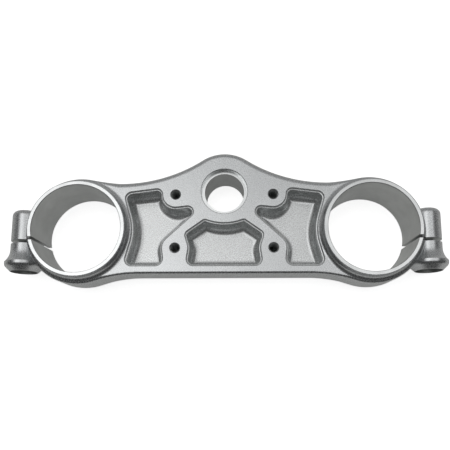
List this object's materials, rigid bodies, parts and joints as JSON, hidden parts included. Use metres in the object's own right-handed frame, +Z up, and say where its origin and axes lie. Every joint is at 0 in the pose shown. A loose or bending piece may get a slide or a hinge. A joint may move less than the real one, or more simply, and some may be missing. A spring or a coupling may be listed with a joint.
{
  "type": "triple clamp",
  "caption": "Upper fork clamp of a motorcycle: a pocketed plate with a split ring for each fork tube, a central stem bore and four tapped holes",
  "frame": {"origin": "on the axis of the stem bore, in the plane of the ring bottoms", "axes": "+Z up along the stem and fork bores, +Y from the fork axes to the stem, to the rider's side, +X to one fork ring"},
  "size_m": [0.27, 0.0817, 0.03],
  "materials": {
    "body": "fine bead-blasted surface, with turned bores and rims"
  },
  "bodies": {
    "root": {"triple_clamp": "body"}
  },
  "joints": []
}
